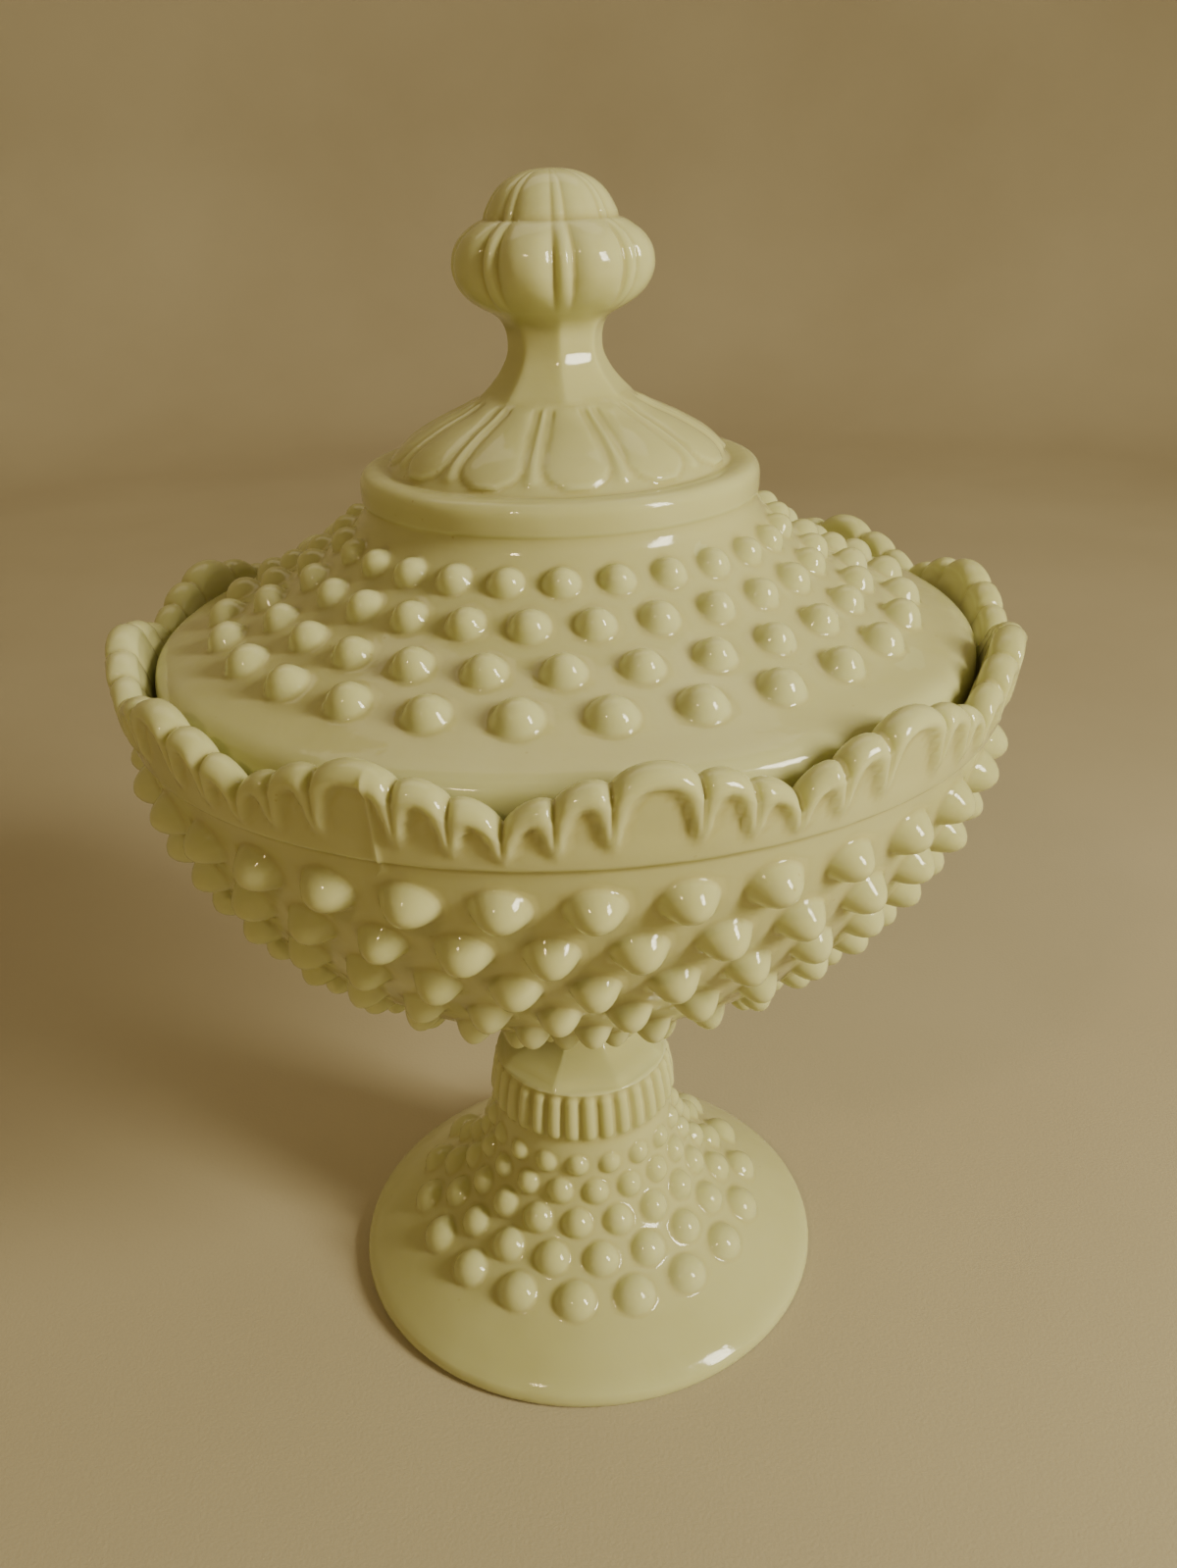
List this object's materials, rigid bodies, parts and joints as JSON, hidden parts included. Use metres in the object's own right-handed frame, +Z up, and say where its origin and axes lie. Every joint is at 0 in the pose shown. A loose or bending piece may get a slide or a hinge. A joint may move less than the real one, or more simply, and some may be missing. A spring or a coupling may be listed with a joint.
{
  "type": "footed covered candy dish",
  "caption": "Footed round dish with a lift-off domed lid, in pressed opaque milk glass with raised hobs, a scalloped crown rim and a lobed finial.",
  "frame": {"origin": "centre of the resting plane under the foot, at the bottom of the object", "axes": "+Z up along the common axis of the bowl, stem, foot and lid; -Y is the front; X runs across"},
  "size_m": [0.158, 0.158, 0.2162],
  "materials": {
    "bowl_glass": "fire-polished gloss, opaque warm ivory milk glass",
    "lid_glass": "fire-polished gloss, opaque warm ivory milk glass"
  },
  "bodies": {
    "base": {"footed_bowl": "bowl_glass"},
    "cover": {"lid": "lid_glass"}
  },
  "joints": [
    {"name": "lid_lift", "type": "slide", "parent": "base", "child": "cover", "axis": [0, 0, 1], "range_m": [0, 0.16]}
  ]
}
